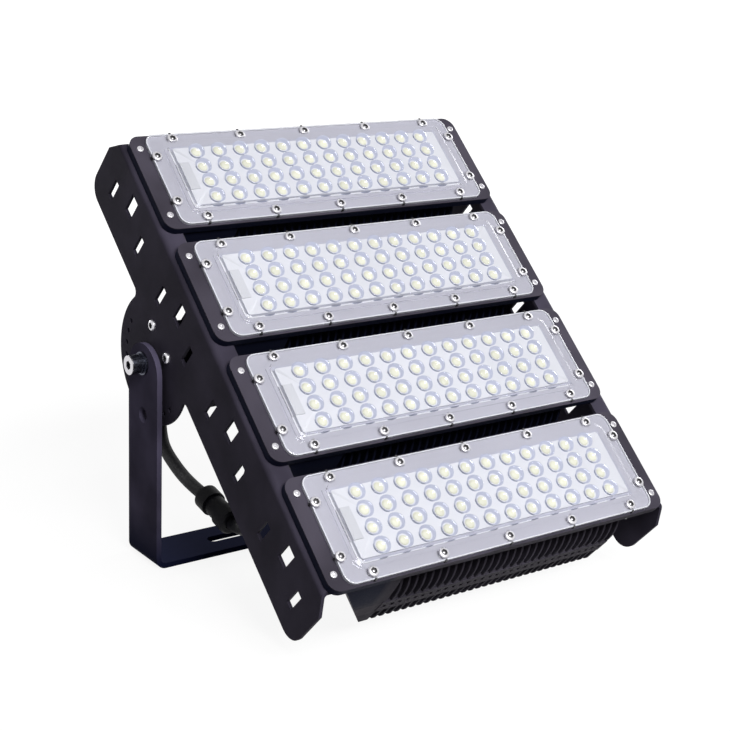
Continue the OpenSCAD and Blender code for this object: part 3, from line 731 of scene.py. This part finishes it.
class FLOODLIGHT_OT_screws(bpy.types.Operator):
    """Makes the cover screws, module screws and tray screws as turned heads with six-sided recesses, the cover
    and tray screws' recesses darkened as painted shade, and the small notches in the covers' edges beside them."""

    bl_idname = "floodlight.screws"
    bl_label = "Screws"

    # Places of the cover screws, from the module's middle: along the long sides, and at the ends
    COVER_U = (-114.5, -57.2, 0.0, 57.2, 114.5)
    COVER_V = 34.9
    END_U = 132.8
    END_V = 20.0
    # Places of the module screws on the end strips, and of the tray screws on the side plates
    STRIP_U = 141.5
    STRIP_V = 29.6
    TRAY_V = (36.6, 64.9)
    TRAY_W = -58.6
    # Radius and rise of each kind of head
    COVER_SCREW = (3.9, 1.6)
    STRIP_SCREW = (2.6, 1.4)
    TRAY_SCREW = (4.0, 2.2)
    # Profiles of a head, its recess and the pin in it, as shares of the head's radius and rise
    RECESS_R = 0.52
    PIN_R = RECESS_R * 0.42
    HEAD = ((1.0, 0.0), (1.0, 0.55), (0.93, 0.85), (0.8, 1.0), (RECESS_R, 1.0))
    RECESS = ((RECESS_R, 1.0), (RECESS_R, 0.4), (0.0, 0.25))
    PIN = ((PIN_R, 0.3), (PIN_R, 0.55), (PIN_R * 0.7, 0.65), (0.0, 0.7))
    HEAD_SIDES = 24
    PIN_SIDES = 16
    # Half width and half depth of a notch, and how far it stands above the flange
    NOTCH = (0.8, 0.7)
    PROUD = 0.05

    def turned(self, shares, size, seat, sides, hex_rings=()):
        """A profile turned round w: its shares times the head's radius and rise, up from the seat."""
        return revolved(np.array(shares) * size + (0.0, seat), sides, hex_rings)

    def head(self, size, seat):
        """A round head on its seat: wall, rounded rim and flat top in to the edge of its recess."""
        return self.turned(self.HEAD, size, seat, self.HEAD_SIDES, hex_rings=(4,))

    def recess(self, size, seat):
        """The six-sided recess in a head: its walls and its hollow floor."""
        return self.turned(self.RECESS, size, seat, self.HEAD_SIDES, hex_rings=(0, 1))

    def pin(self, size, seat):
        """A small bright pin on the recess's floor, with a domed top."""
        return self.turned(self.PIN, size, seat, self.PIN_SIDES)

    def notch(self, low, high):
        """A small dark block across the cover's edge: its wall, and its top drawn in to a line."""
        half, deep = self.NOTCH
        return lofted([(half, deep, 0.0, low), (half, deep, 0.0, high), (half / 2, 0.0, 0.0, high)])

    def round_cover(self, half_l, half_h):
        """Places by the cover screws at those distances from the middle: on both long sides and both ends."""
        sides = [(u, side * half_h, 0.0) for u in self.COVER_U for side in (-1, 1)]
        ends = [(a * half_l, b * self.END_V, 0.0) for a in (-1, 1) for b in (-1, 1)]
        return np.array(sides + ends)

    def execute(self, context):
        head, cover = settings().head, settings().cover
        base = head.base_t
        flange = base + cover.thick
        on_cover = self.round_cover(self.END_U, self.COVER_V)
        on_edge = self.round_cover(cover.length / 2, cover.height / 2)
        on_strip = np.array([(a * self.STRIP_U, b * self.STRIP_V, 0.0) for a in (-1, 1) for b in (-1, 1)])
        kinds = (
            ("cover_screws", "zinc", join_shapes(
                repeat_shape(*self.head(self.COVER_SCREW, flange), on_cover),
                repeat_shape(*self.pin(self.COVER_SCREW, flange), on_cover))),
            # The recesses and the notches beside the screws take the recess finish: steel darkened as painted
            # shade
            ("cover_recesses", "recess", join_shapes(
                repeat_shape(*self.recess(self.COVER_SCREW, flange), on_cover),
                repeat_shape(*self.notch(base + self.PROUD, flange + self.PROUD), on_edge))),
            ("strip_screws", "zinc", repeat_shape(*self.head(self.STRIP_SCREW, base), on_strip)),
            ("strip_recesses", "zinc", repeat_shape(*self.recess(self.STRIP_SCREW, base), on_strip)),
        )
        for name, finish, (points, quads) in kinds:
            for i in MODULES:
                add_piece(f"{name}_{i}", on_module(points, i), quads, FINISHES[finish], "head")
        on_plate = np.array([(0.0, v, self.TRAY_W) for v in self.TRAY_V])
        tray_kinds = (
            ("tray_screws", "zinc", self.head(self.TRAY_SCREW, head.plate_u)),
            # The tray screws' recesses take the same painted shade
            ("tray_recesses", "recess", self.recess(self.TRAY_SCREW, head.plate_u)),
        )
        for side, label in ((-1, "left"), (1, "right")):
            for name, finish, (points, quads) in tray_kinds:
                # Swapping u and w mirrors the shape, so its quads are turned round
                swapped = np.stack([side * points[:, 2], points[:, 1], side * points[:, 0]], axis=-1)
                spots, faces = repeat_shape(swapped, quads[:, ::-1], on_plate)
                add_piece(f"{name}_{label}", head_points(spots), faces, FINISHES[finish], "head")
        return {"FINISHED"}


class FLOODLIGHT_OT_leads(bpy.types.Operator):
    """Makes the two leads that meet in the connector, as smooth tubes along their routes."""

    bl_idname = "floodlight.leads"
    bl_label = "Leads"

    DIAMETER = 10.0
    SIDES = 20
    SPAN_STEPS = 8
    DRIVER_ROUTE = (
        (-96, 72, -117), (-96, 72, -133), (-96, 72, -150), (-96, 72, -171), (-97, 68, -185),
        (-98.5, 58, -196), (-101, 44, -200), (-103.5, 31, -197), (-106, 15, -189), (-108, 0, -180),
        (-109.5, -14, -170), (-110, -29, -159), (-110, -36, -154),
    )
    MODULE_ROUTE = (
        (-110, -57, -142), (-110, -64, -138), (-110.5, -70, -132.5), (-112, -78, -121),
        (-114.5, -81, -107), (-117.5, -78, -93.5), (-120, -69, -83), (-121.5, -60.5, -71),
        (-122, -57.5, -59), (-122, -57.5, -47),
    )

    def smooth_route(self, route):
        """Points along a cubic through the route's points, whose slope at each is that of its neighbours."""
        spots = np.asarray(route, float)
        slope = np.gradient(spots, axis=0)
        t = np.linspace(0, 1, self.SPAN_STEPS, endpoint=False)[None, :, None]
        a, b, sa, sb = (x[:, None] for x in (spots[:-1], spots[1:], slope[:-1], slope[1:]))
        curve = ((2 * t**3 - 3 * t**2 + 1) * a + (t**3 - 2 * t**2 + t) * sa
                 + (3 * t**2 - 2 * t**3) * b + (t**3 - t**2) * sb)
        return np.concatenate([curve.reshape(-1, 3), spots[-1:]])

    def tube(self, path):
        """A circle carried along the path square to it, with its first axis square to u, and closed ends."""
        way = np.gradient(path, axis=0)
        way /= np.linalg.norm(way, axis=1, keepdims=True)
        first = np.cross(way, ACROSS)
        first /= np.linalg.norm(first, axis=1, keepdims=True)
        second = np.cross(way, first)
        turn = np.arange(self.SIDES)[None, :, None] * 2 * np.pi / self.SIDES
        ring = np.cos(turn) * first[:, None] + np.sin(turn) * second[:, None]
        rings = path[:, None] + self.DIAMETER / 2 * ring
        ends = np.repeat(path[[0, -1], None], self.SIDES, axis=1)
        rings = np.concatenate([ends[:1], rings, ends[1:]])
        return rings.reshape(-1, 3), grid_quads(len(rings), self.SIDES, close=True)

    def execute(self, context):
        for name, node, route, far_end, on_it in (
                ("driver_cable", "driver_lead", self.DRIVER_ROUTE, "connector", ["lead_connector"]),
                ("module_cable", "module_lead", self.MODULE_ROUTE, "object", [])):
            path = self.smooth_route(route)
            points, quads = self.tube(path)
            piece = add_piece(name, head_points(points), quads, FINISHES["lead_rubber"],
                              "head")
            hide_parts(node)
        return {"FINISHED"}


class FLOODLIGHT_OT_stage(bpy.types.Operator):
    """Makes the camera, the floor, the lamps and the white surroundings."""

    bl_idname = "floodlight.stage"
    bl_label = "Stage"

    # The photo's camera: its place in metres, its directions, and focal length and sensor in millimetres
    EYE = (-0.6738, -0.95936, 0.48028)
    AHEAD = (0.57096, 0.76939, -0.28643)
    RIGHT = (0.80967, -0.58543, 0.04139)
    LENS = 77.36
    SENSOR = 36.0
    CLIP = (0.05, 200.0)
    # Half the floor's side in metres, points along it, and its grey to bounced light and to sight
    FLOOR = 60.0
    FLOOR_POINTS = 3
    FLOOR_ROUGH = 0.9
    FLOOR_DIM = (0.08, 0.08, 0.08)
    FLOOR_SEEN = (0.6, 0.6, 0.6)
    # Strength of the floor's glow to sight, and its share near the light and far off, at those metres
    GLOW = 1.19
    GLOW_SHARE = (0.75, 1.0)
    GLOW_REACH = (0.3, 1.2)
    # Strength of the surroundings where they aren't seen
    FILL = 0.08
    # What the lamps point at, and each lamp's name, place and size in metres, and watts
    TARGET = (0.0, 0.0, 0.17)
    LAMPS = (
        ("softbox_front", (-0.1, -1.7, 1.6), (1.4, 1.0), 48.0),
        ("softbox_left", (-1.7, -0.9, 0.9), (1.0, 1.2), 1.0),
        ("softbox_right", (1.9, 0.4, 0.8), (0.9, 1.2), 16.0),
        ("softbox_back", (0.15, 2.0, 0.4), (1.0, 0.5), 30.0),
    )

    def add(self, name, data, right, up, back, place):
        """Puts an object at its place, with its own x, y and z along right, up and back."""
        turn = np.eye(4)
        turn[:3] = np.column_stack([right, up, back, place])
        thing = bpy.data.objects.new(name, data)
        thing.matrix_world = Matrix(turn.tolist())
        bpy.context.scene.collection.objects.link(thing)
        return thing

    def camera(self):
        """The camera that the photo was solved to, with its right made square to its view."""
        ahead = np.array(self.AHEAD) / np.linalg.norm(self.AHEAD)
        right = np.array(self.RIGHT) - ahead * np.dot(self.RIGHT, ahead)
        right /= np.linalg.norm(right)
        data = bpy.data.cameras.new("photo_camera")
        data.lens = self.LENS
        data.sensor_width = self.SENSOR
        data.clip_start, data.clip_end = self.CLIP
        bpy.context.scene.camera = self.add(
            "photo_camera", data, right, np.cross(right, ahead), -ahead, self.EYE)

    def seen(self, nodes, links):
        """One where a ray comes from the camera, from a mirroring surface or through a clear one, else 0."""
        path = nodes.new("ShaderNodeLightPath")
        total = path.outputs["Is Camera Ray"]
        for kind in ("Is Glossy Ray", "Is Transmission Ray"):
            total = of_both(nodes, links, "ADD", total, path.outputs[kind], clamp=True)
        return total

    def floor(self):
        """A flat square, dim to bounced light and white to sight, with a faint shadow near the light."""
        edge = np.linspace(-self.FLOOR, self.FLOOR, self.FLOOR_POINTS)
        x, y = np.meshgrid(edge, edge, indexing="ij")
        points = np.stack([x, y, np.zeros_like(x)], axis=-1).reshape(-1, 3)
        mesh = bpy.data.meshes.new("studio_floor")
        quads = grid_quads(self.FLOOR_POINTS, self.FLOOR_POINTS)[:, ::-1]
        mesh.from_pydata(points.tolist(), [], quads.tolist())
        material, nodes, links, shader = new_material("studio_floor")
        shader.inputs["Roughness"].default_value = self.FLOOR_ROUGH
        shader.inputs["Specular IOR Level"].default_value = 0.0
        seen = self.seen(nodes, links)
        links.new(tint(nodes, links, seen, self.FLOOR_DIM, self.FLOOR_SEEN), shader.inputs["Base Color"])
        glow = nodes.new("ShaderNodeEmission")
        glow.inputs["Strength"].default_value = self.GLOW
        place = nodes.new("ShaderNodeTexCoord")
        reach = nodes.new("ShaderNodeVectorMath")
        reach.operation = "LENGTH"
        links.new(place.outputs["Object"], reach.inputs[0])
        near = spread(nodes, links, reach.outputs["Value"], *self.GLOW_SHARE, *self.GLOW_REACH)
        share = of_both(nodes, links, "MULTIPLY", near, seen)
        surface = blend(nodes, links, share, shader.outputs["BSDF"], glow.outputs["Emission"])
        links.new(surface, nodes["Material Output"].inputs["Surface"])
        mesh.materials.append(material)
        floor = bpy.data.objects.new("studio_floor", mesh)
        bpy.context.scene.collection.objects.link(floor)

    def surroundings(self):
        """A white world to sight, and a weak fill for all other light."""
        world = bpy.data.worlds.new("studio_white")
        world.use_nodes = True
        nodes, links = world.node_tree.nodes, world.node_tree.links
        background = nodes["Background"]
        background.inputs["Color"].default_value = (1.0, 1.0, 1.0, 1.0)
        links.new(spread(nodes, links, self.seen(nodes, links), self.FILL, 1.0, 0.0, 1.0),
                  background.inputs["Strength"])
        bpy.context.scene.world = world

    def lamp(self, name, place, size, watts):
        """A rectangular lamp that points at the target, level along its width."""
        data = bpy.data.lights.new(name, "AREA")
        data.shape = "RECTANGLE"
        data.size, data.size_y = size
        data.energy = watts
        back = np.array(place) - np.array(self.TARGET)
        back /= np.linalg.norm(back)
        right = np.cross(UPRIGHT, back)
        right /= np.linalg.norm(right)
        self.add(name, data, right, np.cross(back, right), back, place)

    def execute(self, context):
        bpy.context.scene.view_settings.view_transform = "Standard"
        self.camera()
        self.floor()
        self.surroundings()
        for row in self.LAMPS:
            self.lamp(*row)
        return {"FINISHED"}


class FLOODLIGHT_PT_panel(bpy.types.Panel):
    """Lists the steps that dress the floodlight."""

    bl_idname = "FLOODLIGHT_PT_panel"
    bl_label = "Floodlight"
    bl_space_type = "VIEW_3D"
    bl_region_type = "UI"
    bl_category = "Floodlight"

    def draw(self, context):
        for step in STEPS:
            self.layout.operator(step.bl_idname)


STEPS = (
    FLOODLIGHT_OT_stage, FLOODLIGHT_OT_finishes, FLOODLIGHT_OT_leads, FLOODLIGHT_OT_led_boards,
    FLOODLIGHT_OT_lens_covers, FLOODLIGHT_OT_cover_seals, FLOODLIGHT_OT_screws,
)
CLASSES = (HeadSettings, CoverSettings, FinishSettings, FLOODLIGHT_Settings, *STEPS, FLOODLIGHT_PT_panel)


def register():
    for cls in CLASSES:
        bpy.utils.register_class(cls)
    bpy.types.Scene.floodlight = bpy.props.PointerProperty(type=FLOODLIGHT_Settings)


def unregister():
    del bpy.types.Scene.floodlight
    for cls in reversed(CLASSES):
        bpy.utils.unregister_class(cls)


def main():
    register()
    bpy.ops.floodlight.stage()
    bpy.ops.floodlight.finishes()
    bpy.ops.floodlight.leads()
    bpy.ops.floodlight.led_boards()
    bpy.ops.floodlight.lens_covers()
    bpy.ops.floodlight.cover_seals()
    bpy.ops.floodlight.screws()


if __name__ == "__main__":
    main()
